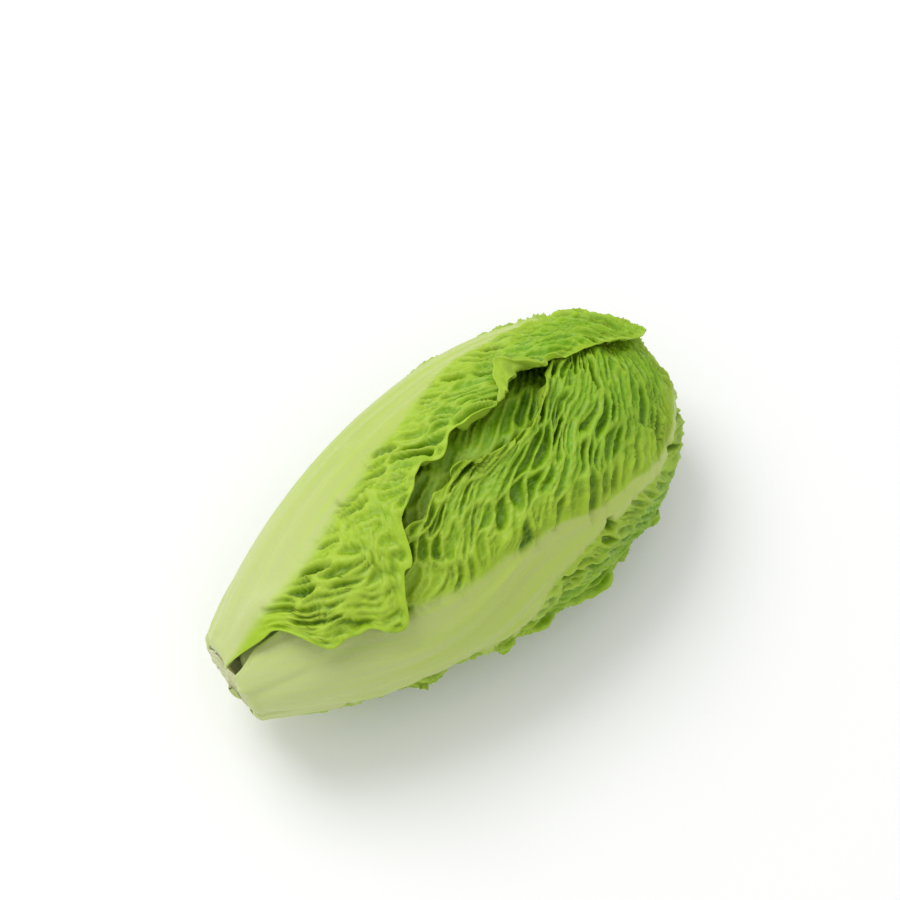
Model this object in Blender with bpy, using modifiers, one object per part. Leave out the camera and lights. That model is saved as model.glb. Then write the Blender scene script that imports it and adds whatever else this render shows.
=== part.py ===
"""Romaine lettuce head of the small, compact kind, cut at its stem and lying on its side.

The head is a short cone-shaped stem with leaves round it, three to a turn. Each leaf wraps the
ones inside it: it follows a scaled-down copy of the head's outer shape, its level, and is pushed
outwards wherever the leaves already in place need the room. Metres, +Z up. The stem's cut end
points to -X and the leaf tips to +X, and the lowest leaf rests on a flattened belly at Z = 0.
"""

import math
from typing import NamedTuple

import bmesh
import bpy
import numpy as np
from mathutils import Vector
from mathutils.bvhtree import BVHTree

# The head's outer shape
HEAD_LENGTH = 0.160
HEAD_RADIUS = 0.0410
WIDEST_AT = 0.58  # share of the length, from the cut
BUTT_SHARE = 0.337  # the radius at the cut end, as a share of the widest
HEIGHT_SHARE = 0.95  # the section is a little lower than it is wide
BELLY_DROP = 0.0348  # from the head's axis down to the flat that the resting leaf is pressed to
OTHER_BELLY_DROP = 0.0316  # and down to the flatter side of every other leaf's shape
BELLY_ROUNDING = 0.0030
BUTT_CORNER_LENGTH = 0.0016
BUTT_CORNER_SHARE = 0.80

# The stem inside
STEM_RADIUS = 0.0088
STEM_NECK_RADIUS = 0.0060
STEM_NECK_AT = 0.0040
STEM_TIP_SHARE = 0.12
STEM_TIP_AT = 0.85
STEM_LENGTH = 0.027

# The leaves
ROLL = -20.0  # degrees that the head is turned about its length as it lies
HEART_X = 0.032  # on the head's axis just past the stem: the point that the levels shrink to
LEAVES_PER_TURN = 3
TURN_STEP = 0.125  # each turn of leaves is this much nearer that point than the one outside it
LEAF_STEP = 0.022  # and each leaf of a turn than the one before it
BLADE_THICKNESS = 0.0009
RIB_THICKNESS_BASE = 0.0032
RIB_THICKNESS_TIP = 0.0011
RIB_PROUD = 0.35  # how much of the rib's extra thickness stands on the outside
LEAST_CLEARANCE = 0.0006
PUCKER_ROOM = 0.0016  # hollow left under a blade for its crinkles
MARGIN_LIFT = 0.0016
TIP_SPREAD = 0.026  # how far past the head's tip the arcs of a leaf's last rows are centred
TIP_SPREAD_FROM = 0.055
TIP_ROUNDING_FROM = 0.60
TIP_ROUNDING_POWER = 2.6
TIP_WIDTH_SHARE = 0.30

OUTER_GRID = (19, 12)  # rows along a leaf, columns across it
INNER_GRID = (13, 8)
SAMPLES_PER_CELL = 4
SETTLING_ROUNDS = 8


class Leaf(NamedTuple):
    """One leaf, by where its midrib lies round the head and where its two margins run.

    angle is in degrees, towards +Y, from the side that is up before the head is rolled. tip is how far its tip stops short of the
    head's tip, along the surface. plus and minus are its margins on the two sides of the midrib,
    as (share of the head's length, degrees from the midrib). One leaf rests on the ground.
    """

    name: str
    angle: float
    tip: float
    plus: tuple
    minus: tuple
    sway: float = 0.0
    grid: tuple = INNER_GRID
    rests: bool = False


PLAIN_MARGIN = ((0.0, 50), (0.15, 58), (0.45, 62), (0.75, 60), (1.0, 52))
WIDE_MARGIN = ((0.0, 55), (0.15, 62), (0.45, 72), (0.75, 68), (1.0, 55))
LOBED_MARGIN = (
    (0.0, 54),
    (0.10, 60),
    (0.165, 92),
    (0.255, 98),
    (0.32, 80),
    (0.37, 60),
    (0.46, 49),
    (0.60, 42),
    (0.80, 38),
    (1.0, 46),
)
SHORT_MARGIN = ((0.0, 38), (0.09, 50), (0.25, 55), (0.65, 53), (0.80, 68), (1.0, 80))
NARROW_MARGIN = ((0.0, 48), (0.15, 52), (0.45, 50), (0.75, 50), (1.0, 50))

WRAPPERS = (
    Leaf("leaf_01_upper_wrapper", 72, 0.012, WIDE_MARGIN, LOBED_MARGIN, -2.0, OUTER_GRID),
    Leaf("leaf_02_front_wrapper", -42, -0.006, SHORT_MARGIN, NARROW_MARGIN, 5.0, OUTER_GRID),
    Leaf("leaf_03_underside_wrapper", -168, 0.004, WIDE_MARGIN, PLAIN_MARGIN, 3.0, OUTER_GRID, True),
    Leaf("leaf_04_front_second", 14, 0.000, PLAIN_MARGIN, WIDE_MARGIN, 2.0, OUTER_GRID),
    Leaf("leaf_05_lower_second", -108, 0.002, PLAIN_MARGIN, WIDE_MARGIN, -3.0, OUTER_GRID),
    Leaf("leaf_06_back_second", 132, 0.002, WIDE_MARGIN, PLAIN_MARGIN, 3.0, OUTER_GRID),
)
INNER_LEAF_COUNT = 12
GOLDEN_ANGLE = 137.5
FIRST_INNER_ANGLE = -45.0


def inner_leaf(depth):
    angle = FIRST_INNER_ANGLE + GOLDEN_ANGLE * depth
    side = 1 if depth % 2 else -1
    name = f"leaf_{len(WRAPPERS) + depth + 1:02d}_heart"
    return Leaf(name, angle, 0.003, PLAIN_MARGIN, PLAIN_MARGIN, 3.0 * side)


LEAVES = WRAPPERS + tuple(inner_leaf(depth) for depth in range(INNER_LEAF_COUNT))  # outermost first


def smoothstep(value):
    value = np.clip(value, 0.0, 1.0)
    return value * value * (3 - 2 * value)


def eased(at, points):
    """The curve through points, level at each of them."""
    places, values = np.array(points, float).T
    step = np.clip(np.searchsorted(places, at, side="right") - 1, 0, len(places) - 2)
    share = smoothstep((at - places[step]) / (places[step + 1] - places[step]))
    return values[step] + (values[step + 1] - values[step]) * share


def head_profile():
    """Half the head's outline, from the tip to the cut: distance along it, X and radius."""
    turn = np.linspace(0, math.pi / 2, 60)
    tip_x = HEAD_LENGTH * (WIDEST_AT + (1 - WIDEST_AT) * np.cos(turn))
    tip_radius = HEAD_RADIUS * np.sin(turn)
    corner_share = BUTT_CORNER_LENGTH / (WIDEST_AT * HEAD_LENGTH)
    share = np.linspace(0, 1 - corner_share, 60)[1:]
    base_x = HEAD_LENGTH * WIDEST_AT * (1 - share)
    base_radius = HEAD_RADIUS * (BUTT_SHARE + (1 - BUTT_SHARE) * np.cos(share * math.pi / 2))
    butt_radius = HEAD_RADIUS * BUTT_SHARE * BUTT_CORNER_SHARE
    corner_x = base_x[-1] * (1 - np.sin(turn[1:]))
    corner_radius = butt_radius + (base_radius[-1] - butt_radius) * np.cos(turn[1:])
    x = np.concatenate([tip_x, base_x, corner_x])
    radius = np.concatenate([tip_radius, base_radius, corner_radius])
    along = np.concatenate([[0], np.cumsum(np.hypot(np.diff(x), np.diff(radius)))])
    return along, x, radius


ALONG, PROFILE_X, PROFILE_RADIUS = head_profile()
HEART = np.array([HEART_X, 0.0, 0.0])


def outer_shape(along, angle, drop):
    """Points of the head's outer shape, by distance from its tip and angle round it from +Z."""
    radius = np.interp(along, ALONG, PROFILE_RADIUS)
    down = -HEIGHT_SHARE * radius * np.cos(angle)
    near = np.clip(1 - np.abs(down - drop) / BELLY_ROUNDING, 0, 1)
    down = np.minimum(down, drop) - near * near * BELLY_ROUNDING / 4
    x = np.interp(along, ALONG, PROFILE_X)
    return np.stack([x, radius * np.sin(angle), -down], axis=-1)


def leaf_directions(leaf, rows, columns):
    """Where each point of a leaf's grid lies on the outer shape: (along, angle) arrays.

    Rows are arcs round the head's axis, and near the tip round a centre beyond it, so that the
    leaf folds over the tip with a broad end.
    """
    s = np.linspace(0, 1, rows)[:, None]
    t = np.linspace(-1, 1, columns)[None, :]
    middle = ALONG[-1] + s * (leaf.tip - ALONG[-1])
    share = np.interp(middle, ALONG, PROFILE_X) / HEAD_LENGTH
    plus, minus = eased(share, leaf.plus), eased(share, leaf.minus)
    rounding = np.clip((s - TIP_ROUNDING_FROM) / (1 - TIP_ROUNDING_FROM), 0, 1)
    width = TIP_WIDTH_SHARE + (1 - TIP_WIDTH_SHARE) * np.sqrt(1 - rounding**TIP_ROUNDING_POWER)
    turn = np.radians(np.where(t > 0, plus, minus) * t * width)
    spread = TIP_SPREAD * smoothstep((TIP_SPREAD_FROM - middle) / TIP_SPREAD_FROM)
    forward = (middle + spread) * np.cos(turn) - spread
    aside = (middle + spread) * np.sin(turn)
    sway = math.radians(leaf.sway) * np.cos(2 * math.pi * s / 0.6)
    angle = np.arctan2(aside, forward) + math.radians(leaf.angle + ROLL) + sway
    return np.hypot(forward, aside), angle


def leaf_thickness(rows, columns):
    """A broad thick midrib at the base, which tapers into the blade. Also the blade's share."""
    s = np.linspace(0, 1, rows)[:, None]
    t = np.linspace(-1, 1, columns)[None, :]
    rib_width = 0.10 + 0.62 * (1 - s) ** 2.2
    rib = np.exp(-((np.abs(t) / rib_width) ** 2.4))
    rib_thickness = RIB_THICKNESS_TIP + (RIB_THICKNESS_BASE - RIB_THICKNESS_TIP) * (1 - s) ** 1.6
    return BLADE_THICKNESS + (rib_thickness - BLADE_THICKNESS) * rib, 1 - rib


def grid_normals(points):
    """Outward unit normals of a grid of points."""
    along = np.gradient(points, axis=0)
    across = np.gradient(points, axis=1)
    normal = np.cross(along, across)
    return normal / np.linalg.norm(normal, axis=-1, keepdims=True)


def finer(grid):
    """A grid sampled SAMPLES_PER_CELL times as finely, on its own flat cells."""
    for axis in (0, 1):
        at = np.arange((grid.shape[axis] - 1) * SAMPLES_PER_CELL + 1) / SAMPLES_PER_CELL
        low = np.minimum(at.astype(int), grid.shape[axis] - 2)
        share = (at - low).reshape([-1 if k == axis else 1 for k in range(grid.ndim)])
        grid = (1 - share) * grid.take(low, axis) + share * grid.take(low + 1, axis)
    return grid


def lack_of_room(inner, clearance, placed):
    """How much further out each sample of a leaf's inner face must go to clear placed leaves."""
    lack = np.zeros(inner.shape[:2])
    centre = Vector(HEART)
    for index in np.ndindex(lack.shape):
        ray = Vector(inner[index]) - centre
        length = ray.length
        hit = placed.ray_cast(centre + ray * (HEAD_LENGTH / length), -ray.normalized(), HEAD_LENGTH)
        if hit[0] is not None:
            lack[index] = clearance[index] - (length - (hit[0] - centre).length)
    return np.maximum(lack, 0)


def spread_to_corners(lack, shape):
    """The most that any sample near a grid point lacks, smoothed without ever going below it."""
    reach = SAMPLES_PER_CELL
    padded = np.pad(lack, reach)
    most = np.zeros(shape)
    for i, j in np.ndindex(*shape):
        row, column = i * SAMPLES_PER_CELL, j * SAMPLES_PER_CELL
        most[i, j] = padded[row : row + 2 * reach + 1, column : column + 2 * reach + 1].max()
    around = np.pad(most, 1, mode="edge")
    mean = (around[:-2, 1:-1] + around[2:, 1:-1] + around[1:-1, :-2] + around[1:-1, 2:]) / 4
    return np.maximum(most, (most + mean) / 2)


def on_the_ground(points, level):
    """The same points, pressed up to the flat of the belly at this level."""
    pressed = points.copy()
    pressed[..., 2] = np.maximum(points[..., 2], -(BELLY_DROP - MARGIN_LIFT) * level)
    return pressed


def leaf_surface(leaf, level, placed):
    """The outer face of one leaf as a grid of points, and its thickness at each of them."""
    rows, columns = leaf.grid
    along, angle = leaf_directions(leaf, rows, columns)
    thickness, blade = leaf_thickness(rows, columns)
    thickness = thickness * level**0.8
    rays = outer_shape(along, angle, BELLY_DROP if leaf.rests else OTHER_BELLY_DROP) - HEART
    reach = np.linalg.norm(rays, axis=-1)
    rays = rays / reach[..., None]
    t = np.abs(np.linspace(-1, 1, columns))[None, :]
    lift = MARGIN_LIFT * smoothstep((t - 0.7) / 0.3) * blade
    proud = RIB_PROUD * (thickness - BLADE_THICKNESS)
    distance = level * (reach - MARGIN_LIFT) + proud + level * lift
    clearance = LEAST_CLEARANCE + PUCKER_ROOM * level * blade
    fine_clearance = finer(clearance)
    for _ in range(SETTLING_ROUNDS):
        outer = HEART + rays * distance[..., None]
        if leaf.rests:
            outer = on_the_ground(outer, level)
        inner = outer - grid_normals(outer) * thickness[..., None]
        lack = lack_of_room(finer(inner), fine_clearance, placed)
        if not lack.any():
            break
        distance = distance + spread_to_corners(lack, distance.shape)
    return outer, thickness


def leaf_object(leaf, outer, thickness, material):
    """A leaf as an open surface with a Solidify that follows the thickness at each point."""
    rows, columns = leaf.grid
    shape = bmesh.new()
    bmesh.ops.create_grid(shape, x_segments=rows - 1, y_segments=columns - 1, size=1.0)
    weights = shape.verts.layers.deform.new()
    thickest = float(thickness.max())
    for vertex in shape.verts:
        row = round((vertex.co.x + 1) / 2 * (rows - 1))
        column = round((vertex.co.y + 1) / 2 * (columns - 1))
        vertex.co = outer[row, column]
        vertex[weights][0] = float(thickness[row, column]) / thickest
    mesh = bpy.data.meshes.new(leaf.name)
    shape.to_mesh(mesh)
    shape.free()
    mesh.shade_smooth()
    mesh.materials.append(material)
    made = bpy.data.objects.new(leaf.name, mesh)
    made.vertex_groups.new(name="thickness")
    solidify = made.modifiers.new("thickness", "SOLIDIFY")
    solidify.thickness = thickest
    solidify.offset = -1
    solidify.vertex_group = "thickness"
    return made


def stem_object(material):
    """The stem: a short cone, turned from its profile, whose wide end is the cut."""
    profile = [
        (0.0, STEM_LENGTH),
        (STEM_RADIUS * STEM_TIP_SHARE, STEM_LENGTH * STEM_TIP_AT),
        (STEM_NECK_RADIUS, STEM_NECK_AT),
        (STEM_RADIUS, 0.0),
        (0.0, 0.0),
    ]
    mesh = bpy.data.meshes.new("stem")
    edges = [(k, k + 1) for k in range(len(profile) - 1)]
    mesh.from_pydata([(r, 0.0, height) for r, height in profile], edges, [])
    mesh.materials.append(material)
    stem = bpy.data.objects.new("stem", mesh)
    stem.rotation_euler = (0.0, math.pi / 2, 0.0)
    screw = stem.modifiers.new("turned", "SCREW")
    screw.steps = screw.render_steps = 20
    screw.use_merge_vertices = True
    screw.merge_threshold = 0.0001
    return stem


def plain_material(name, colour, roughness):
    material = bpy.data.materials.new(name)
    material.use_nodes = True
    shader = material.node_tree.nodes["Principled BSDF"]
    shader.inputs["Base Color"].default_value = (*colour, 1.0)
    shader.inputs["Roughness"].default_value = roughness
    shader.inputs["Metallic"].default_value = 0.0
    return material


def world_mesh(objects):
    """The evaluated faces of several objects, as one list of points and one of faces."""
    graph = bpy.context.evaluated_depsgraph_get()
    points, faces = [], []
    for one in objects:
        evaluated = one.evaluated_get(graph)
        mesh = evaluated.to_mesh()
        first = len(points)
        points += [evaluated.matrix_world @ vertex.co for vertex in mesh.vertices]
        faces += [[first + corner for corner in face.vertices] for face in mesh.polygons]
        evaluated.to_mesh_clear()
    return points, faces


def build():
    for old in list(bpy.data.objects):
        bpy.data.objects.remove(old)
    collection = bpy.data.collections.new("romaine_lettuce_head")
    bpy.context.scene.collection.children.link(collection)
    rib_white = plain_material("stem_flesh", (0.72, 0.74, 0.48), 0.55)
    wrapper_green = plain_material("wrapper_leaf", (0.30, 0.50, 0.06), 0.45)
    heart_green = plain_material("heart_leaf", (0.60, 0.68, 0.22), 0.45)

    pieces = [stem_object(rib_white)]
    collection.objects.link(pieces[0])
    for depth in reversed(range(len(LEAVES))):
        leaf = LEAVES[depth]
        bpy.context.view_layer.update()
        placed = BVHTree.FromPolygons(*world_mesh(pieces[1:]))
        turn, place = divmod(depth, LEAVES_PER_TURN)
        level = 1 - TURN_STEP * turn - LEAF_STEP * place
        outer, thickness = leaf_surface(leaf, level, placed)
        material = wrapper_green if leaf.grid == OUTER_GRID else heart_green
        pieces.append(leaf_object(leaf, outer, thickness, material))
        collection.objects.link(pieces[-1])

    bpy.context.view_layer.update()
    points = np.array(world_mesh(pieces)[0])
    low, high = points.min(axis=0), points.max(axis=0)
    head = bpy.data.objects.new("head", None)
    collection.objects.link(head)
    for piece in pieces:
        piece.parent = head
    head.location = (-(low[0] + high[0]) / 2, -(low[1] + high[1]) / 2, -low[2])


build()
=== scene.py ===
"""The looks of a small romaine lettuce head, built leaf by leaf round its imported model.

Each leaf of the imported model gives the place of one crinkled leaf. A leaf is a closed sheet on a
grid: rows run from its base to its tip and columns from one margin, across the midrib, to the
other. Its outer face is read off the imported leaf, bent at the margins and creased by its veins.
"""

import math
from typing import NamedTuple

import bpy
import numpy as np
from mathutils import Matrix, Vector
from mathutils.bvhtree import BVHTree


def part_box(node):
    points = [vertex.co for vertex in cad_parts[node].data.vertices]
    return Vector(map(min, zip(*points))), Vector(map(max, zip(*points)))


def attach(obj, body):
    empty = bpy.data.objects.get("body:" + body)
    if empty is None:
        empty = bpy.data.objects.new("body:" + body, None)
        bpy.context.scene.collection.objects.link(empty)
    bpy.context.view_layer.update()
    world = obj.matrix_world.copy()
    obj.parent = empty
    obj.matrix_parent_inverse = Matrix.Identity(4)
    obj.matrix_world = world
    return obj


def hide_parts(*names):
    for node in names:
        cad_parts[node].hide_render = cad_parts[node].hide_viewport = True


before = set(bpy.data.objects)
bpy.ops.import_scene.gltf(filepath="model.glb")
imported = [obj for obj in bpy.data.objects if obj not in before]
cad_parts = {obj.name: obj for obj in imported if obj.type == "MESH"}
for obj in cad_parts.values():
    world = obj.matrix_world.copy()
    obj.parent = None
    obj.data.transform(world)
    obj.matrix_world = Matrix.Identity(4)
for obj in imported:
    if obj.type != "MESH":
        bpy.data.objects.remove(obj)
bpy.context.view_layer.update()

MM = 0.001

# The head's outer shape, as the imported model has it
HEAD_LENGTH = 0.160
HEAD_RADIUS = 0.0410
WIDEST_AT = 0.58
BUTT_SHARE = 0.337
HEIGHT_SHARE = 0.95
BUTT_CORNER_LENGTH = 0.0016
BUTT_CORNER_SHARE = 0.80
HEART_X = 0.032
ROLL = -20.0
TIP_SPREAD = 0.026
TIP_SPREAD_FROM = 0.055
TIP_ROUNDING_FROM = 0.60
TIP_ROUNDING_POWER = 2.6
TIP_WIDTH_SHARE = 0.30
PROFILE_POINTS = 60  # in each of the outline's three curves
SURVEY_GRID = (48, 30)  # rows and columns at which a packed leaf's surface is read

COLUMN_SPREAD = 0.8  # below one, columns lie closer together near the margins
ROW_SWEEP = 0.16  # how far rows lean towards the tip at the margins, as the side veins do
BLADE_THICKNESS = 0.0005
RIM_THICKNESS = 0.0003
NICKS = ((0.035, 22, 5), (0.022, 60, 6))  # share of a leaf's width, number along it, seed
NICKS_START = (0.08, 0.15)

stem_low, stem_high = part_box("stem")
CUT = np.array([stem_low[0], (stem_low[1] + stem_high[1]) / 2, (stem_low[2] + stem_high[2]) / 2])
HEART = CUT + (HEART_X, 0.0, 0.0)
REACH = 2 * HEAD_LENGTH  # where rays start, outside the head


class Leaf(NamedTuple):
    """One leaf. Places along it are shares of the head's length, and places across it degrees.

    midrib is the way of its midrib round the head, and plus and minus are its margins on the two
    sides, as degrees from the midrib. rib is half the width of the smooth midrib. tip is how far
    its tip stops short of the head's tip, along the surface, in metres. grid is its number of rows
    and columns. turn_plus and turn_minus are how far its margins turn outwards, and ruffle how far
    they wave, in degrees. tone is how dark it is, from 0 to 1.
    A puff is (place, degree, length, width, height in metres).
    A fold is (place, half its length, side, degrees turned, width in millimetres).
    """

    node: str
    midrib: tuple
    plus: tuple
    minus: tuple
    rib: tuple
    tip: float
    seed: int
    grid: tuple
    crinkle: float = 1.0
    turn_plus: tuple = ((0, 10), (1, 10))
    turn_minus: tuple = ((0, 10), (1, 10))
    ruffle: float = 14.0
    puffs: tuple = ()
    folds: tuple = ()
    tone: float = 0.5


FINE_GRID = (286, 172)
MEDIUM_GRID = (200, 130)
HEART_GRID = (90, 56)

PLAIN_MARGIN = ((0, 50), (0.15, 58), (0.45, 62), (0.75, 60), (1, 52))
WIDE_MARGIN = ((0, 55), (0.15, 62), (0.45, 72), (0.75, 68), (1, 55))
NARROW_MARGIN = ((0, 48), (0.15, 52), (0.45, 50), (0.75, 50), (1, 50))
SHORT_MARGIN = ((0, 38), (0.06, 48), (0.25, 56), (0.64, 52), (0.78, 76), (1, 96))
LOBED_MARGIN = (
    (0, 55),
    (0.10, 63),
    (0.165, 92),
    (0.25, 98),
    (0.31, 81),
    (0.35, 65),
    (0.46, 54),
    (0.60, 49),
    (0.70, 52),
    (0.82, 46),
    (1, 48),
)
PLAIN_RIB = ((0, 46), (0.12, 34), (0.3, 18), (0.6, 8), (0.85, 3), (1, 1.5))

WRAPPERS = (
    Leaf(
        node="leaf_01_upper_wrapper",
        midrib=((0, 72), (0.3, 78), (0.6, 77), (1, 70)),
        plus=WIDE_MARGIN,
        minus=LOBED_MARGIN,
        rib=(
            (0, 52),
            (0.08, 48),
            (0.18, 43),
            (0.3, 36),
            (0.45, 27),
            (0.65, 15),
            (0.85, 6),
            (1, 3),
        ),
        tip=0.017,
        seed=11,
        grid=FINE_GRID,
        turn_minus=(
            (0, 0),
            (0.1, 5),
            (0.16, 28),
            (0.30, 22),
            (0.38, 30),
            (0.55, 16),
            (0.7, 6),
            (1, 0),
        ),
        puffs=((0.22, -80, 0.09, 26, 0.0025),),
        folds=((0.69, 0.085, -1, 160, 7.5),),
        tone=0.35,
    ),
    Leaf(
        node="leaf_02_front_wrapper",
        midrib=((0, -35), (0.28, -50), (0.54, -38), (0.75, -43), (0.87, -52), (1, -60)),
        plus=SHORT_MARGIN,
        minus=NARROW_MARGIN,
        rib=((0, 50), (0.1, 42), (0.26, 26), (0.45, 16), (0.55, 12), (0.7, 7), (0.85, 3.5), (1, 2)),
        tip=-0.006,
        seed=23,
        grid=FINE_GRID,
        turn_plus=((0, 0), (0.3, 5), (0.45, 16), (0.75, 12), (1, 5)),
        turn_minus=((0, 0), (0.35, 5), (0.5, 30), (0.8, 30), (1, 10)),
        ruffle=24.0,
        tone=0.6,
    ),
    Leaf(
        node="leaf_03_underside_wrapper",
        midrib=((0, -165), (0.3, -170), (1, -166)),
        plus=WIDE_MARGIN,
        minus=PLAIN_MARGIN,
        rib=PLAIN_RIB,
        tip=-0.001,
        seed=37,
        grid=FINE_GRID,
        crinkle=0.75,
        turn_plus=((0, 0), (0.3, 10), (0.5, 14), (1, 5)),
    ),
    Leaf(
        node="leaf_04_front_second",
        midrib=((0, -10), (0.3, -16), (0.6, -20), (1, -10)),
        plus=((0, 76), (0.15, 84), (0.45, 96), (0.75, 90), (1, 70)),
        minus=((0, 40), (0.15, 46), (0.45, 46), (0.75, 44), (1, 40)),
        rib=PLAIN_RIB,
        tip=-0.004,
        seed=41,
        grid=MEDIUM_GRID,
        crinkle=0.7,
        tone=0.9,
    ),
    Leaf(
        node="leaf_05_lower_second",
        midrib=((0, -111), (0.3, -105), (1, -108)),
        plus=PLAIN_MARGIN,
        minus=WIDE_MARGIN,
        rib=PLAIN_RIB,
        tip=-0.005,
        seed=53,
        grid=MEDIUM_GRID,
        crinkle=0.7,
    ),
    Leaf(
        node="leaf_06_back_second",
        midrib=((0, 135), (0.3, 129), (1, 132)),
        plus=WIDE_MARGIN,
        minus=PLAIN_MARGIN,
        rib=PLAIN_RIB,
        tip=-0.006,
        seed=67,
        grid=MEDIUM_GRID,
        crinkle=0.8,
    ),
)
INNER_LEAF_COUNT = 12
GOLDEN_ANGLE = 137.5
FIRST_INNER_ANGLE = -45.0
INNER_TIP = 0.003
FIRST_INNER_SEED = 71
INNER_SEED_STEP = 7


def inner_leaf(depth):
    """The heart leaf inside depth others."""
    middle = FIRST_INNER_ANGLE + GOLDEN_ANGLE * depth
    return Leaf(
        node=f"leaf_{len(WRAPPERS) + depth + 1:02d}_heart",
        midrib=((0, middle), (1, middle)),
        plus=PLAIN_MARGIN,
        minus=PLAIN_MARGIN,
        rib=PLAIN_RIB,
        tip=INNER_TIP,
        seed=FIRST_INNER_SEED + INNER_SEED_STEP * depth,
        grid=HEART_GRID,
        crinkle=0.5,
        tone=0.15,
    )


LEAVES = WRAPPERS + tuple(inner_leaf(depth) for depth in range(INNER_LEAF_COUNT))


# Curves and noise


def smoothstep(value):
    value = np.clip(value, 0.0, 1.0)
    return value * value * (3 - 2 * value)


def ramp(value, start, length):
    """From 0 where value is start to 1 where it is start + length."""
    return smoothstep((value - start) / length)


def eased(at, points):
    """The curve through points, level at each of them."""
    places, values = np.array(points, float).T
    step = np.clip(np.searchsorted(places, at, side="right") - 1, 0, len(places) - 2)
    share = smoothstep((at - places[step]) / (places[step + 1] - places[step]))
    return values[step] + (values[step + 1] - values[step]) * share


PRIME_I, PRIME_J, PRIME_SEED, PRIME_MIX = 374761393, 668265263, 974634777, 1274126177
WORD = 0xFFFFFFFF
SHORT_WORD = 0xFFFFFF


def chance(i, j, seed):
    """A repeatable number from 0 to 1 for each pair of whole numbers."""
    mixed = i.astype(np.int64) * PRIME_I + j.astype(np.int64) * PRIME_J + seed * PRIME_SEED
    mixed = mixed & WORD
    mixed = ((mixed ^ (mixed >> 13)) * PRIME_MIX) & WORD
    return ((mixed ^ (mixed >> 16)) & SHORT_WORD) / SHORT_WORD


def noise(x, y, seed):
    """Smooth noise from -1 to 1 with bumps one unit apart."""
    x, y = np.broadcast_arrays(np.asarray(x, float), np.asarray(y, float))
    i, j = np.floor(x), np.floor(y)
    a, b = smoothstep(x - i), smoothstep(y - j)
    low = chance(i, j, seed) * (1 - a) + chance(i + 1, j, seed) * a
    high = chance(i, j + 1, seed) * (1 - a) + chance(i + 1, j + 1, seed) * a
    return 2 * (low * (1 - b) + high * b) - 1


def waves(x, y, seed, layers):
    """Noise in layers, each (height, size along x, size along y, what it adds to the seed)."""
    return sum(high * noise(x / long, y / wide, seed + own) for high, long, wide, own in layers)


CELL_START, CELL_SPREAD = 0.15, 0.7  # a cell's middle keeps this far from its square's sides
FAR_AWAY = 9.0


def cells(x, y, seed):
    """Cells one unit across: how near each place is to a wall, 0 at it, and its cell's chance."""
    i, j = np.floor(x), np.floor(y)
    nearest = np.full(x.shape, FAR_AWAY)
    second = nearest.copy()
    own = np.zeros(x.shape)
    for column in (i - 1, i, i + 1):
        for row in (j - 1, j, j + 1):
            away = np.hypot(
                column + CELL_START + CELL_SPREAD * chance(column, row, seed) - x,
                row + CELL_START + CELL_SPREAD * chance(column, row, seed + 1) - y,
            )
            closer = away < nearest
            second = np.where(closer, nearest, np.minimum(second, away))
            own = np.where(closer, chance(column, row, seed + 2), own)
            nearest = np.where(closer, away, nearest)
    return second - nearest, own


def resampled(grid, rows, columns):
    """A coarse grid read off as a smooth surface at rows by columns places."""
    for axis, count in ((0, rows), (1, columns)):
        last = grid.shape[axis] - 1
        at = np.linspace(0, last, count)
        low = np.minimum(at.astype(int), last - 1)
        x = (at - low).reshape([-1 if k == axis else 1 for k in range(grid.ndim)])
        near = (grid.take(np.clip(low + k, 0, last), axis) for k in (-1, 0, 1, 2))
        before, start, end, after = near
        cubic = 3 * (start - end) + after - before
        square = 2 * before - 5 * start + 4 * end - after
        grid = start + 0.5 * x * (end - before + x * (square + x * cubic))
    return grid


def blurred(field, passes):
    """The field with each place mixed with its neighbours, passes times."""
    for _ in range(passes):
        edge = np.pad(field, 1, mode="edge")
        around = edge[:-2, 1:-1] + edge[2:, 1:-1] + edge[1:-1, :-2] + edge[1:-1, 2:]
        field = (around + 4 * field) / 8
    return field


# The head's shape


def head_profile():
    """Half the head's outline, from the tip to the cut: distance along it, X and radius."""
    turn = np.linspace(0, math.pi / 2, PROFILE_POINTS)
    tip_x = HEAD_LENGTH * (WIDEST_AT + (1 - WIDEST_AT) * np.cos(turn))
    tip_radius = HEAD_RADIUS * np.sin(turn)
    corner_share = BUTT_CORNER_LENGTH / (WIDEST_AT * HEAD_LENGTH)
    share = np.linspace(0, 1 - corner_share, PROFILE_POINTS)[1:]
    base_x = HEAD_LENGTH * WIDEST_AT * (1 - share)
    base_radius = HEAD_RADIUS * (BUTT_SHARE + (1 - BUTT_SHARE) * np.cos(share * math.pi / 2))
    butt_radius = HEAD_RADIUS * BUTT_SHARE * BUTT_CORNER_SHARE
    corner_x = base_x[-1] * (1 - np.sin(turn[1:]))
    corner_radius = butt_radius + (base_radius[-1] - butt_radius) * np.cos(turn[1:])
    x = np.concatenate([tip_x, base_x, corner_x])
    radius = np.concatenate([tip_radius, base_radius, corner_radius])
    along = np.concatenate([[0], np.cumsum(np.hypot(np.diff(x), np.diff(radius)))])
    return along, x, radius


ALONG, PROFILE_X, PROFILE_RADIUS = head_profile()


def head_rays(along, angle):
    """From the heart, the vectors to points of the head's shape.

    along is their distance from its tip, over its surface, and angle their angle round it.
    """
    radius = np.interp(along, ALONG, PROFILE_RADIUS)
    x = np.interp(along, ALONG, PROFILE_X) - HEART_X
    return np.stack([x, radius * np.sin(angle), HEIGHT_SHARE * radius * np.cos(angle)], axis=-1)


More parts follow.
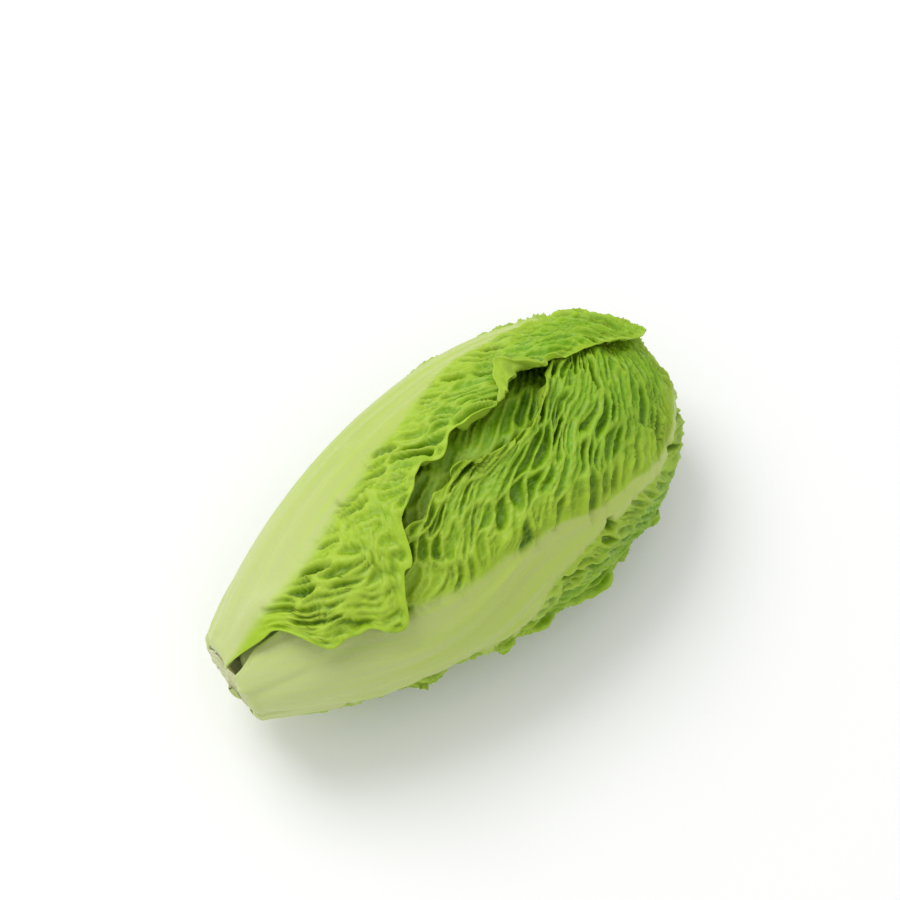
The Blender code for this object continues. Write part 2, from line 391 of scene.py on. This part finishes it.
def directions(leaf, rows, columns):
    """Where each point of a leaf's grid lies on the head's shape.

    It gives along and angle as head_rays has them, the place as a share of the head's length, the
    degrees from the midrib, and s, the share of the way from the leaf's base to its tip.
    """
    s = np.linspace(0, 1, rows)[:, None]
    t = np.linspace(-1, 1, columns)[None, :]
    t = np.sign(t) * np.abs(t) ** COLUMN_SPREAD
    s = s + ROW_SWEEP * np.abs(t) * 4 * s * (1 - s)
    middle = ALONG[-1] + s * (leaf.tip - ALONG[-1])
    share = np.interp(middle, ALONG, PROFILE_X) / HEAD_LENGTH
    nicks = sum(share_of * noise(s * number, leaf.seed, own) for share_of, number, own in NICKS)
    nicks = 1 + nicks * ramp(s, *NICKS_START)
    plus = eased(share, leaf.plus) * nicks
    minus = eased(share, leaf.minus) * (2 - nicks)
    rounding = np.clip((s - TIP_ROUNDING_FROM) / (1 - TIP_ROUNDING_FROM), 0, 1)
    width = TIP_WIDTH_SHARE + (1 - TIP_WIDTH_SHARE) * np.sqrt(1 - rounding**TIP_ROUNDING_POWER)
    turn = np.radians(np.where(t > 0, plus, minus) * t * width)
    spread = TIP_SPREAD * smoothstep((TIP_SPREAD_FROM - middle) / TIP_SPREAD_FROM)
    forward = (middle + spread) * np.cos(turn) - spread
    aside = (middle + spread) * np.sin(turn)
    angle = np.arctan2(aside, forward) + np.radians(eased(share, leaf.midrib) + ROLL)
    return np.hypot(forward, aside), angle, share, np.degrees(turn), s


def packed_tree(node):
    """A packed leaf's surface, for casting rays at."""
    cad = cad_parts[node]
    points = [cad.matrix_world @ vertex.co for vertex in cad.data.vertices]
    return BVHTree.FromPolygons(points, [tuple(face.vertices) for face in cad.data.polygons])


def filled(field):
    """The field with its unknown places filled in from their neighbours."""
    while np.isnan(field).any():
        edge = np.pad(field, 1, constant_values=np.nan)
        around = np.stack([edge[:-2, 1:-1], edge[2:, 1:-1], edge[1:-1, :-2], edge[1:-1, 2:]])
        known = ~np.isnan(around)
        total = np.where(known, around, 0).sum(axis=0)
        mean = total / np.maximum(known.sum(axis=0), 1)
        field = np.where(np.isnan(field) & known.any(axis=0), mean, field)
    return field


def base_surface(leaf, rows, columns):
    """The smooth outer face of a leaf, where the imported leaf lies."""
    tree = packed_tree(leaf.node)
    along, angle, _, _, _ = directions(leaf, *SURVEY_GRID)
    rays = head_rays(along, angle)
    reach = np.linalg.norm(rays, axis=-1)
    share = np.full(SURVEY_GRID, np.nan)
    heart = Vector(HEART)
    for index in np.ndindex(*SURVEY_GRID):
        ray = Vector(rays[index]).normalized()
        hit = tree.ray_cast(heart + ray * REACH, -ray, REACH)
        if hit[0] is not None:
            share[index] = (hit[0] - heart).length / reach[index]
    share = resampled(blurred(filled(share), 2), rows, columns)
    along, angle, place, turn, s = directions(leaf, rows, columns)
    return HEART + head_rays(along, angle) * share[..., None], place, turn, s


def normals_of(points):
    """Outward unit normals of a grid of points."""
    normal = np.cross(np.gradient(points, axis=0), np.gradient(points, axis=1))
    return normal / np.maximum(np.linalg.norm(normal, axis=-1, keepdims=True), 1e-12)


def lengths_across(points, u):
    """Signed distance of each point across from the midrib, in millimetres."""
    step = np.linalg.norm(np.diff(points, axis=1), axis=-1) / MM
    step = np.sqrt(np.maximum(step**2 - np.diff(u, axis=1) ** 2, (0.3 * step) ** 2))
    run = np.concatenate([np.zeros((len(points), 1)), np.cumsum(step, axis=1)], axis=1)
    middle = (run[:, [run.shape[1] // 2 - 1]] + run[:, [run.shape[1] // 2]]) / 2
    return run - middle


def bent(points, normals, turn):
    """The surface with each row turned outwards by turn, a running angle away from the midrib."""
    half = points.shape[1] // 2
    result = points.copy()
    for columns in (slice(half, None), slice(half, None, -1)):
        row, face, angle = points[:, columns], normals[:, columns], turn[:, columns]
        step = np.diff(row, axis=1)
        size = np.linalg.norm(step, axis=-1, keepdims=True)
        outward = (face[:, 1:] + face[:, :-1]) / 2
        middle = ((angle[:, 1:] + angle[:, :-1]) / 2)[..., None]
        turned = np.cos(middle) * step + np.sin(middle) * size * outward
        result[:, columns][:, 1:] = row[:, :1] + np.cumsum(turned, axis=1)
    return result


# A leaf's veins, crinkles and curls, in millimetres along (u) and across (v) the leaf. Their noise
# is in layers, as waves has them. The starts are (place, length) along the leaf, for ramp.

VEIN_SPACING = 5.0  # along the midrib
VEIN_SLANT = 0.8  # the share of that spacing which is square to a vein
VEIN_SWEEP = 0.75  # how far a side vein leans towards the tip as it runs out
VEIN_BEND = 0.008
VEIN_WARP = ((2.6, 14, 14, 0), (1.3, 5, 5, 1))
VEIN_HEIGHT = 0.9
VEIN_WIDTH = 0.7
VEIN_FADE, VEIN_FADE_LENGTH = 0.5, 30.0
FAINTEST_VEIN = 0.5
RUN_STRETCH = 1.25  # a side vein's length for each millimetre across
RUN_WARP = ((1.5, 6, 6, 2),)
OTHER_SIDE = 60  # moves the pattern on one side of the midrib away from the other's
POCKET_SIZE = (4.4, 11.0)  # across and along the side veins
POCKET_DEPTH = 3.1
POCKET_WALL = 0.42
POCKET_ROUNDNESS = 1.3
POCKET_LEAST, POCKET_RANGE = 0.15, 0.95
POCKET_UNDER_VEIN = 0.75
POCKET_MEAN = 0.85
POCKET_PATCHES = ((0.35, 9, 9, 4),)
SMALL_POCKET_SIZE = (2.0, 2.8)
SMALL_POCKET_DEPTH = 0.6
SMALL_POCKET_WALL = 0.5
SMALL_POCKET_LEAST = 0.4
GRIT = ((0.12, 1.3, 1.3, 5),)
FINGERS = ((2.6, 3.0, 12, 6),)  # the pale fingers in which the midrib runs into the blade
FINGER_GAP = 2.5
FINGER_VEIN = (0.5, -0.4)  # a ramp down, as the fingers lie along the veins
FINGER_LENGTH = 6.5
RIDGE, RIDGE_WIDTH = 0.8, 0.35
SMALL_RIDGE, SMALL_RIDGE_WIDTH = 0.45, 0.3
# The small pockets' share of the pockets' painted shade, and a little taken off it everywhere
SMALL_POCKET_SHADE = 0.25
LEAST_SHADE = 0.1

CURL_WIDTH = 9.0
RUFFLES = ((1.0, 6.5, 1, 8), (0.6, 3.2, 1, 9))
MARGIN_WAYS = (3.0, 7.0)  # sets the waves of the two margins apart
RUFFLE_START = (0.06, 0.12)
FOLD_ROUNDING = 2.5
LEAST_FLAP = 2
FOLD_CALM = 0.85
BLADE_START = (0.05, 0.12)
MARGIN_CRINKLE = 0.3
RIM_CALM, RIM_CALM_WIDTH = 0.6, 2.0
ROLLING = ((1.5, 15, 13, 10), (0.8, 7, 7, 12))
STREAKS = ((0.20, 45, 1.7, 11), (0.45, 70, 5.0, 13))
STREAKS_START = (0.01, 0.05)
BLADE_LIFT = 0.8

RIB_FADE_FROM, RIB_FADE_SHARE, LEAST_RIB_FADE = 0.8, 0.45, 1.5
RIB_THICKNESS_AT_TIP = 0.0006
RIB_THICKENING = 0.0028
RIB_TAPER = 1.6
RIM_TAPER, RIM_START = 2.5, 0.05
# How far the pockets' painted shade is let over the midrib
RIB_SHADE = 0.8
EDGE_WIDTH = 3.0
FAR_FROM_RIB = 18.0

PUSH_STEP = 3  # every third row and column is kept clear of the leaf below
MOST_PUSH = 0.006
LEAF_GAP = 0.0004


def creases(u, v, rib_edge, seed):
    """Height of the creased blade in millimetres, and where its ridges and pockets are, 0 to 1.
    The pockets' value darkens their colour, partly as deeper green and partly as painted shade.

    The last value is 0 on the midrib and 1 on the blade, with pale fingers between.
    """
    out = np.abs(v) - rib_edge
    beyond = np.maximum(out, 0)
    side = np.where(v > 0, 1, 0)
    warp = waves(u, v, seed, VEIN_WARP)
    way = u - VEIN_SWEEP * beyond - VEIN_BEND * beyond**2 + warp + OTHER_SIDE * side
    run = beyond * RUN_STRETCH + waves(u, v, seed, RUN_WARP)

    phase = way / VEIN_SPACING
    number = np.round(phase)
    off_vein = np.abs(phase - number) * VEIN_SPACING * VEIN_SLANT
    strong = FAINTEST_VEIN + (1 - FAINTEST_VEIN) * chance(number, side, seed + 3)
    vein = np.exp(-((off_vein / VEIN_WIDTH) ** 2)) * strong

    wall, own = cells(way / POCKET_SIZE[0], run / POCKET_SIZE[1], seed + 20)
    deep = POCKET_LEAST + POCKET_RANGE * own
    pocket_and_painted_shade = smoothstep(wall / POCKET_WALL) ** POCKET_ROUNDNESS * deep
    patches = POCKET_MEAN + waves(u, v, seed, POCKET_PATCHES)
    pocket_and_painted_shade = pocket_and_painted_shade * (1 - POCKET_UNDER_VEIN * vein) * patches
    small_wall, small_own = cells(
        way / SMALL_POCKET_SIZE[0], run / SMALL_POCKET_SIZE[1], seed + 30
    )
    small_deep = SMALL_POCKET_LEAST + (1 - SMALL_POCKET_LEAST) * small_own
    small_pocket = smoothstep(small_wall / SMALL_POCKET_WALL) * small_deep

    between = ramp(vein, *FINGER_VEIN)
    fingers = out + waves(way, run, seed, FINGERS) + FINGER_GAP * between
    fade = smoothstep(fingers / FINGER_LENGTH)
    low_veins = VEIN_HEIGHT * vein * (1 - VEIN_FADE * smoothstep(beyond / VEIN_FADE_LENGTH))
    height = low_veins - POCKET_DEPTH * pocket_and_painted_shade - SMALL_POCKET_DEPTH * small_pocket
    height = height + waves(u, v, seed, GRIT)
    ridge = np.maximum(vein, RIDGE * (1 - smoothstep(wall / RIDGE_WIDTH)))
    small_ridge = SMALL_RIDGE * (1 - smoothstep(small_wall / SMALL_RIDGE_WIDTH))
    ridge = np.maximum(ridge, small_ridge)
    # The pockets' painted shade, which also stands for their deeper green
    shade = np.clip(pocket_and_painted_shade + SMALL_POCKET_SHADE * small_pocket - LEAST_SHADE, 0, 1)
    return height, ridge, shade, fade


def margin_curl(leaf, u, v, place, to_margin, near):
    """How many degrees the blade turns outwards, and where a fold keeps it smooth, 0 to 1."""
    lean = np.where(v > 0, eased(place, leaf.turn_plus), eased(place, leaf.turn_minus))
    ruffle = leaf.ruffle * ramp(place, *RUFFLE_START)
    ruffle = ruffle * waves(u, np.where(v > 0, *MARGIN_WAYS), leaf.seed, RUFFLES)
    curl = near * (lean + ruffle) * leaf.crinkle
    calm = 0 * v
    for at, length, side, angle, width in leaf.folds:
        flap = width * np.clip(1 - np.abs(place - at) / length, 0, 1) * (np.sign(v) == side)
        calm = np.maximum(calm, smoothstep((flap + FOLD_ROUNDING - to_margin) / FOLD_ROUNDING))
        folded = smoothstep((flap - to_margin) / FOLD_ROUNDING) * smoothstep(flap / LEAST_FLAP)
        curl = curl * (1 - calm) + angle * folded
    return curl, calm


def leaf_shape(leaf):
    """The outer and inner faces of a leaf as grids of points, the masks that colour it, u and v."""
    rows, columns = leaf.grid
    base, place, turn, s = base_surface(leaf, rows, columns)
    along = np.linalg.norm(np.diff(base[:, columns // 2], axis=0), axis=-1) / MM
    u = np.interp(s, s[:, columns // 2], np.concatenate([[0], np.cumsum(along)]))
    v = lengths_across(base, u)

    most = np.abs(turn).max(axis=1, keepdims=True)
    rib_edge = eased(place, leaf.rib) * (np.abs(v).max(axis=1, keepdims=True) / most)
    rib_fade = np.maximum(rib_edge * RIB_FADE_SHARE, LEAST_RIB_FADE)
    rib = 1 - smoothstep((np.abs(v) - rib_edge * RIB_FADE_FROM) / rib_fade)

    to_margin = np.where(v > 0, v[:, -1:] - v, v - v[:, :1])
    to_margin = np.minimum(to_margin, u[-1:, :1] - u)
    near = smoothstep(1 - to_margin / CURL_WIDTH)
    curl, calm = margin_curl(leaf, u, v, place, to_margin, near)
    normals = normals_of(base)
    surface = bent(base, normals, np.radians(curl))
    for at, degree, length, width, height in leaf.puffs:
        bump = np.exp(-(((place - at) / length) ** 2) - ((turn - degree) / width) ** 2)
        surface = surface + normals * (bump * height)[..., None]

    height, ridge, pocket_and_painted_shade, fade = creases(u, v, rib_edge, leaf.seed)
    fade = fade * ramp(place, *BLADE_START)
    flat_rim = RIM_CALM * smoothstep(1 - to_margin / RIM_CALM_WIDTH)
    strength = leaf.crinkle * fade * (1 + MARGIN_CRINKLE * near) * (1 - flat_rim)
    strength = strength * (1 - FOLD_CALM * calm)
    rolling = waves(u, v, leaf.seed, ROLLING) * fade * leaf.crinkle * (1 - FOLD_CALM * calm)
    streaks = waves(u, v, leaf.seed, STREAKS) * rib * ramp(place, *STREAKS_START)
    lift = BLADE_LIFT * leaf.crinkle * fade
    relief = height * strength + rolling + streaks + lift
    outer = surface + normals_of(surface) * (relief * MM)[..., None]

    to_tip = 1 - np.linspace(0, 1, rows)[:, None]
    rib_thickness = RIB_THICKNESS_AT_TIP + RIB_THICKENING * to_tip**RIB_TAPER
    thickness = BLADE_THICKNESS + (rib_thickness - BLADE_THICKNESS) * rib
    from_rim = smoothstep(to_margin / RIM_TAPER + RIM_START)
    thickness = RIM_THICKNESS + (thickness - RIM_THICKNESS) * from_rim
    inner = outer - normals_of(blurred_points(outer, 2)) * thickness[..., None]
    # The pocket mask paints shade into the pockets, partly for their deeper green too, and keeps
    # the pale midrib colour out of them
    masks = {
        "rib": rib * (1 - RIB_SHADE * pocket_and_painted_shade * fade),
        "vein": ridge * fade,
        "pocket_and_painted_shade": pocket_and_painted_shade * fade,
        "edge": smoothstep(1 - to_margin / EDGE_WIDTH),
        "far": smoothstep((np.abs(v) - rib_edge) / FAR_FROM_RIB),
        "place": place + 0 * v,
        "tone": np.full(v.shape, leaf.tone),
    }
    return outer, inner, masks, u, v


def pushed_out(points, made, clearance):
    """The points moved away from the heart so that they stay outside the leaves already made."""
    rows, columns = points.shape[:2]
    coarse = points[::PUSH_STEP, ::PUSH_STEP]
    rays = coarse - HEART
    reach = np.linalg.norm(rays, axis=-1)
    push = np.zeros(reach.shape)
    heart = Vector(HEART)
    for index in np.ndindex(*reach.shape):
        ray = Vector(rays[index]) / reach[index]
        for tree in made:
            hit = tree.ray_cast(heart + ray * REACH, -ray, REACH)
            if hit[0] is not None:
                least = (hit[0] - heart).length + clearance
                push[index] = max(push[index], min(least - reach[index], MOST_PUSH))
    wide = np.pad(push, 1, mode="edge")
    beside = (wide[:-2, 1:-1], wide[2:, 1:-1], wide[1:-1, :-2], wide[1:-1, 2:])
    push = np.maximum.reduce([push, *beside])
    push = np.maximum(resampled(blurred(push, 2), rows, columns), 0)
    away = points - HEART
    return points + away / np.linalg.norm(away, axis=-1, keepdims=True) * push[..., None]


def blurred_points(points, passes):
    return np.stack([blurred(points[..., k], passes) for k in range(3)], axis=-1)


def above_ground(points, least):
    raised = points.copy()
    raised[..., 2] = np.maximum(points[..., 2], least)
    return raised


def grid_faces(rows, columns):
    number = np.arange(rows * columns).reshape(rows, columns)
    corners = (number[:-1, :-1], number[1:, :-1], number[1:, 1:], number[:-1, 1:])
    return np.stack(corners, axis=-1).reshape(-1, 4)


def sheet_faces(rows, columns):
    """Faces of a closed sheet: its outer grid, its inner grid turned over, and its rim."""
    number = np.arange(rows * columns).reshape(rows, columns)
    outer = grid_faces(rows, columns)
    inner = outer[:, ::-1] + rows * columns
    loop = np.concatenate([number[0, :-1], number[:-1, -1], number[-1, :0:-1], number[:0:-1, 0]])
    after = np.roll(loop, -1)
    rim = np.stack([loop, after, after + rows * columns, loop + rows * columns], axis=-1)
    return np.concatenate([outer, inner, rim])


def mesh_of(name, points, faces):
    mesh = bpy.data.meshes.new(name)
    mesh.vertices.add(len(points))
    mesh.vertices.foreach_set("co", points.astype(np.float32).ravel())
    mesh.loops.add(faces.size)
    mesh.loops.foreach_set("vertex_index", faces.astype(np.int32).ravel())
    mesh.polygons.add(len(faces))
    mesh.polygons.foreach_set("loop_start", np.arange(0, faces.size, 4, dtype=np.int32))
    mesh.update(calc_edges=True)
    mesh.validate()
    mesh.shade_smooth()
    return mesh


def placed(name, data):
    """A new object in the scene."""
    thing = bpy.data.objects.new(name, data)
    bpy.context.collection.objects.link(thing)
    return thing


def add_layer(mesh, name, kind, field, values):
    """Values for each point of a mesh, for its material to read."""
    layer = mesh.attributes.new(name, kind, "POINT")
    layer.data.foreach_set(field, values.astype(np.float32).ravel())


def make_leaf(leaf, material, made):
    """The leaf as a piece, outside the leaves in made, which it is added to."""
    outer, inner, masks, u, v = leaf_shape(leaf)
    rows, columns = u.shape
    moved = pushed_out(inner, made, LEAF_GAP)
    outer, inner = outer + moved - inner, moved
    outer, inner = above_ground(outer, 0.0), above_ground(inner, BLADE_THICKNESS / 2)
    points = np.concatenate([outer.reshape(-1, 3), inner.reshape(-1, 3)])
    name = leaf.node.replace("leaf_", "romaine_leaf_")
    mesh = mesh_of(name, points, sheet_faces(rows, columns))
    for mask, values in masks.items():
        add_layer(mesh, mask, "FLOAT", "value", np.tile(values.ravel(), 2))
    add_layer(mesh, "inside", "FLOAT", "value", np.repeat([0.0, 1.0], u.size))
    grain = np.stack([u * MM, v * MM, np.zeros(u.shape)], axis=-1).reshape(-1, 3)
    add_layer(mesh, "grain", "FLOAT_VECTOR", "vector", np.tile(grain, (2, 1)))
    mesh.materials.append(material)
    face_points, faces = outer.reshape(-1, 3).tolist(), grid_faces(rows, columns).tolist()
    made.append(BVHTree.FromPolygons(face_points, faces))
    piece = placed(name, mesh)
    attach(piece, "root")
    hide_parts(leaf.node)


STEM_RADIUS = 0.0104
STEM_LENGTH = 0.027
STEM_TIP_SHARE = 0.16
STEM_TAPER = 0.4  # below one, it narrows fastest just behind the cut
STEM_HOLLOW = 0.0012
STEM_SEGMENTS = 96
STEM_RINGS = 60
FACE_MIDDLE = 0.02  # the innermost ring of the cut face, as a share of its radius
BULGE, BULGE_COUNT = 0.05, 2
DENT, DENT_COUNT = 0.02, 7
GROOVES_ALONG = 90
FACE_DENTS = ((0.00022, 0.0011, 0.0011, 5), (0.0003, 0.003, 0.003, 6))


def make_stem(material):
    """The stem: a cone with a rough, slightly hollow cut face, its middle on the cut."""
    turn = np.linspace(0, 2 * math.pi, STEM_SEGMENTS, endpoint=False)[None, :]
    face = np.linspace(FACE_MIDDLE, 1, STEM_RINGS // 2)[:, None]
    side = np.linspace(0, 1, STEM_RINGS // 2)[1:, None]
    radius = STEM_RADIUS * np.concatenate([face, 1 - (1 - STEM_TIP_SHARE) * side**STEM_TAPER])
    x = np.concatenate([STEM_HOLLOW * (1 - face**2), STEM_LENGTH * side])
    across, up, along = np.cos(turn), np.sin(turn), x * GROOVES_ALONG
    rough = 1 + BULGE * noise(across * BULGE_COUNT + along, up * BULGE_COUNT, 3)
    rough = rough + DENT * noise(across * DENT_COUNT, up * DENT_COUNT + along, 4)
    y, z = radius * rough * across, radius * rough * up
    on_face = np.concatenate([np.ones(face.shape), np.zeros(side.shape)])
    points = CUT + np.stack([x + on_face * waves(y, z, 0, FACE_DENTS) + 0 * turn, y, z], axis=-1)
    number = np.arange(len(points) * STEM_SEGMENTS).reshape(len(points), STEM_SEGMENTS)
    after = np.roll(number, -1, axis=1)
    faces = np.stack([number[:-1], after[:-1], after[1:], number[1:]], axis=-1)
    faces = faces.reshape(-1, 4).tolist()
    faces.append(number[0, ::-1].tolist())
    faces.append(number[-1].tolist())
    mesh = bpy.data.meshes.new("romaine_stem")
    mesh.from_pydata(points.reshape(-1, 3).tolist(), [], faces)
    mesh.shade_smooth()
    mesh.materials.append(material)
    piece = placed("romaine_stem", mesh)
    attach(piece, "root")
    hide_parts("stem")


# Materials. Noise scales are per metre, as grain is in metres.

MIX_SHARE, MIX_A, MIX_B, MIX_RESULT = 0, 6, 7, 2  # the colour sockets of a Mix node


class Nodes:
    """Short calls for making a material's nodes."""

    def __init__(self, name):
        self.material = bpy.data.materials.new(name)
        self.material.use_nodes = True
        self.tree = self.material.node_tree
        self.shader = self.tree.nodes["Principled BSDF"]

    def add(self, kind, **values):
        node = self.tree.nodes.new(kind)
        for key, value in values.items():
            setattr(node, key, value)
        return node

    def join(self, value, socket):
        if isinstance(value, bpy.types.NodeSocket):
            self.tree.links.new(value, socket)
        elif isinstance(value, tuple) and len(value) == 3 and socket.type == "RGBA":
            socket.default_value = (*value, 1.0)
        else:
            socket.default_value = value

    def read(self, name, output="Fac"):
        return self.add("ShaderNodeAttribute", attribute_name=name).outputs[output]

    def noise(self, vector, scale, detail, stretch=(1, 1, 1)):
        mapping = self.add("ShaderNodeMapping")
        self.join(vector, mapping.inputs["Vector"])
        mapping.inputs["Scale"].default_value = stretch
        made = self.add("ShaderNodeTexNoise")
        self.join(mapping.outputs["Vector"], made.inputs["Vector"])
        made.inputs["Scale"].default_value = scale
        made.inputs["Detail"].default_value = detail
        return made.outputs["Fac"]

    def sum(self, operation, a, b):
        made = self.add("ShaderNodeMath", operation=operation)
        self.join(a, made.inputs[0])
        self.join(b, made.inputs[1])
        return made.outputs["Value"]

    def between(self, value, low, high, start=0.0, end=1.0):
        """From start where value is low to end where it is high."""
        made = self.add("ShaderNodeMapRange", interpolation_type="SMOOTHSTEP")
        for given, socket in zip((value, low, high, start, end), made.inputs):
            self.join(given, socket)
        return made.outputs["Result"]

    def mix(self, share, a, b):
        made = self.add("ShaderNodeMix", data_type="RGBA")
        self.join(share, made.inputs[MIX_SHARE])
        self.join(a, made.inputs[MIX_A])
        self.join(b, made.inputs[MIX_B])
        return made.outputs[MIX_RESULT]

    def bump(self, height, strength, distance):
        made = self.add("ShaderNodeBump")
        made.inputs["Strength"].default_value = strength
        made.inputs["Distance"].default_value = distance
        self.join(height, made.inputs["Height"])
        return made.outputs["Normal"]

    def shade(self, **values):
        """Sets the shader's sockets, named with _ for each space."""
        for name, value in values.items():
            self.join(value, self.shader.inputs[name.replace("_", " ")])


RIB_BASE = (0.58, 0.62, 0.34)
FLESH, PALE_FLESH = (0.50, 0.55, 0.26), (0.66, 0.68, 0.38)
STAIN = (0.42, 0.34, 0.13)


def leaf_material(name, young, grown, deep, vein_colour, rib_colour):
    """A leaf: green blade, deeper in its pockets, with pale veins and a cream, streaked midrib.

    The pockets' darkening is partly their deeper green and partly painted shade.
    """
    n = Nodes(name)
    grain = n.read("grain", "Vector")
    rib, vein, pocket_and_painted_shade, edge = (n.read(mask) for mask in ("rib", "vein", "pocket_and_painted_shade", "edge"))
    place = n.read("place")
    patches = n.noise(grain, scale=70.0, detail=4.0)
    flecks = n.noise(grain, scale=900.0, detail=3.0)
    streaks = n.noise(grain, scale=650.0, detail=4.0, stretch=(0.04, 1, 1))

    age = n.between(place, 0.10, 0.75)
    away = n.between(n.read("far"), 0.0, 0.8, start=0.1)
    blade = n.mix(n.sum("MULTIPLY", age, away), young, grown)
    # Painted shade: the pockets are mixed towards deep, partly for their deeper green; deep also
    # darkens whole leaves by tone
    shade = n.sum("MULTIPLY", pocket_and_painted_shade, n.between(patches, 0.25, 0.75, start=0.75, end=1.25))
    blade = n.mix(shade, blade, deep)
    blade = n.mix(n.between(flecks, 0.35, 0.75, end=0.22), blade, young)
    fainter = n.between(place, 0.35, 1.0, start=0.75, end=0.4)
    pale_vein = n.sum("MULTIPLY", n.between(vein, 0.15, 0.9), fainter)
    blade = n.mix(pale_vein, blade, vein_colour)
    blade = n.mix(n.sum("MULTIPLY", edge, 0.6), blade, young)
    blade = n.mix(n.sum("MULTIPLY", n.read("tone"), 0.22), blade, deep)
    blade = n.mix(n.sum("MULTIPLY", n.read("inside"), 0.55), blade, vein_colour)

    rib_shade = n.mix(n.between(streaks, 0.35, 0.7, end=0.65), rib_colour, vein_colour)
    at_base = n.between(place, 0.02, 0.45, start=0.45, end=0.0)
    rib_shade = n.mix(at_base, rib_shade, RIB_BASE)

    rough = n.sum("MULTIPLY", n.noise(grain, scale=1500.0, detail=2.0), 0.5)
    relief = n.sum("ADD", rough, n.noise(grain, scale=420.0, detail=3.0))
    n.shade(
        Base_Color=n.mix(n.between(rib, 0.05, 0.9), blade, rib_shade),
        Roughness=n.between(flecks, 0.2, 0.8, start=0.34, end=0.5),
        Specular_IOR_Level=0.3,
        Subsurface_Weight=0.15,
        Subsurface_Radius=(0.55, 1.0, 0.18),
        Subsurface_Scale=0.0015,
        Normal=n.bump(relief, strength=0.35, distance=0.0006),
    )
    return n.material


def stem_material():
    """The cut stem: moist cream flesh, a little browned in places."""
    n = Nodes("cut_stem")
    place = n.add("ShaderNodeTexCoord").outputs["Object"]
    spots = n.noise(place, scale=700.0, detail=4.0)
    stain = n.noise(place, scale=160.0, detail=5.0)
    flesh = n.mix(n.between(spots, 0.35, 0.7), FLESH, PALE_FLESH)
    n.shade(
        Base_Color=n.mix(n.between(stain, 0.5, 0.8, end=0.4), flesh, STAIN),
        Roughness=0.5,
        Subsurface_Weight=0.3,
        Subsurface_Radius=(1.0, 0.8, 0.4),
        Subsurface_Scale=0.002,
        Normal=n.bump(spots, strength=0.4, distance=0.0004),
    )
    return n.material


# The studio

VIEW_AZIMUTH = math.radians(-39)
VIEW_ELEVATION = math.radians(65)
VIEW_DISTANCE = 0.611
VIEW_LENS = 85.0
VIEW_CLIP = 0.02
AIM_RIGHT = -0.0014
AIM_UP = 0.0179
KEY_PLACE = (-0.45, 0.8, 0.75)  # right, up and back in the camera's view, times KEY_DISTANCE
KEY_DISTANCE = 0.9
KEY_SIZE = 0.6
KEY_POWER = 4.8
WORLD_STRENGTH = 0.82
FLOOR_REACH = 3.0
FLOOR_SHADE = 0.92


def make_camera():
    """The camera at the photo's angle, and its ways right, up and back."""
    a, e = VIEW_AZIMUTH, VIEW_ELEVATION
    back = Vector((math.sin(a) * math.cos(e), -math.cos(a) * math.cos(e), math.sin(e)))
    right = Vector((math.cos(a), math.sin(a), 0))
    up = back.cross(right)
    middle = Vector(CUT) + Vector((HEAD_LENGTH / 2, 0, 0))
    data = bpy.data.cameras.new("camera")
    data.lens = VIEW_LENS
    data.clip_start = VIEW_CLIP
    camera = placed("camera", data)
    camera.location = middle + right * AIM_RIGHT + up * AIM_UP + back * VIEW_DISTANCE
    camera.rotation_euler = (-back).to_track_quat("-Z", "Y").to_euler()
    bpy.context.scene.camera = camera
    return right, up, back


def make_key_light(right, up, back):
    data = bpy.data.lights.new("key", "AREA")
    data.shape = "DISK"
    data.size = KEY_SIZE
    data.energy = KEY_POWER
    light = placed("key", data)
    rightward, upward, backward = KEY_PLACE
    light.location = (rightward * right + upward * up + backward * back) * KEY_DISTANCE
    light.rotation_euler = (-light.location).to_track_quat("-Z", "Y").to_euler()


def make_studio(right, up, back):
    """White light from all round, one soft key light, and a white paper floor."""
    world = bpy.data.worlds.new("studio")
    bpy.context.scene.world = world
    world.use_nodes = True
    world.node_tree.nodes["Background"].inputs["Color"].default_value = (1, 1, 1, 1)
    world.node_tree.nodes["Background"].inputs["Strength"].default_value = WORLD_STRENGTH
    make_key_light(right, up, back)

    mesh = bpy.data.meshes.new("floor")
    far = FLOOR_REACH
    corners = [(-far, -far, 0), (far, -far, 0), (far, far, 0), (-far, far, 0)]
    mesh.from_pydata(corners, [], [(0, 1, 2, 3)])
    floor = placed("floor", mesh)
    paper = Nodes("paper_floor")
    paper.shade(Base_Color=(FLOOR_SHADE, FLOOR_SHADE, FLOOR_SHADE), Roughness=0.9)
    mesh.materials.append(paper.material)
    bpy.context.scene.view_settings.view_transform = "Standard"


outer_leaf = leaf_material(
    "outer_leaf",
    young=(0.38, 0.56, 0.022),
    grown=(0.20, 0.44, 0.0),
    # the deep green of darker leaves, also the colour of the pockets' painted shade
    deep=(0.05, 0.145, 0.0),
    vein_colour=(0.42, 0.58, 0.05),
    rib_colour=(0.43, 0.52, 0.14),
)
heart_leaf = leaf_material(
    "heart_leaf",
    young=(0.72, 0.78, 0.30),
    grown=(0.52, 0.68, 0.14),
    # the deep green of darker leaves, also the colour of the pockets' painted shade
    deep=(0.30, 0.50, 0.05),
    vein_colour=(0.74, 0.80, 0.42),
    rib_colour=(0.76, 0.80, 0.50),
)
made = []
for leaf in reversed(LEAVES):  # from the innermost outwards, as each is kept outside the last
    if leaf in WRAPPERS:
        make_leaf(leaf, outer_leaf, made)
    else:
        make_leaf(leaf, heart_leaf, made)

make_stem(stem_material())

make_studio(*make_camera())
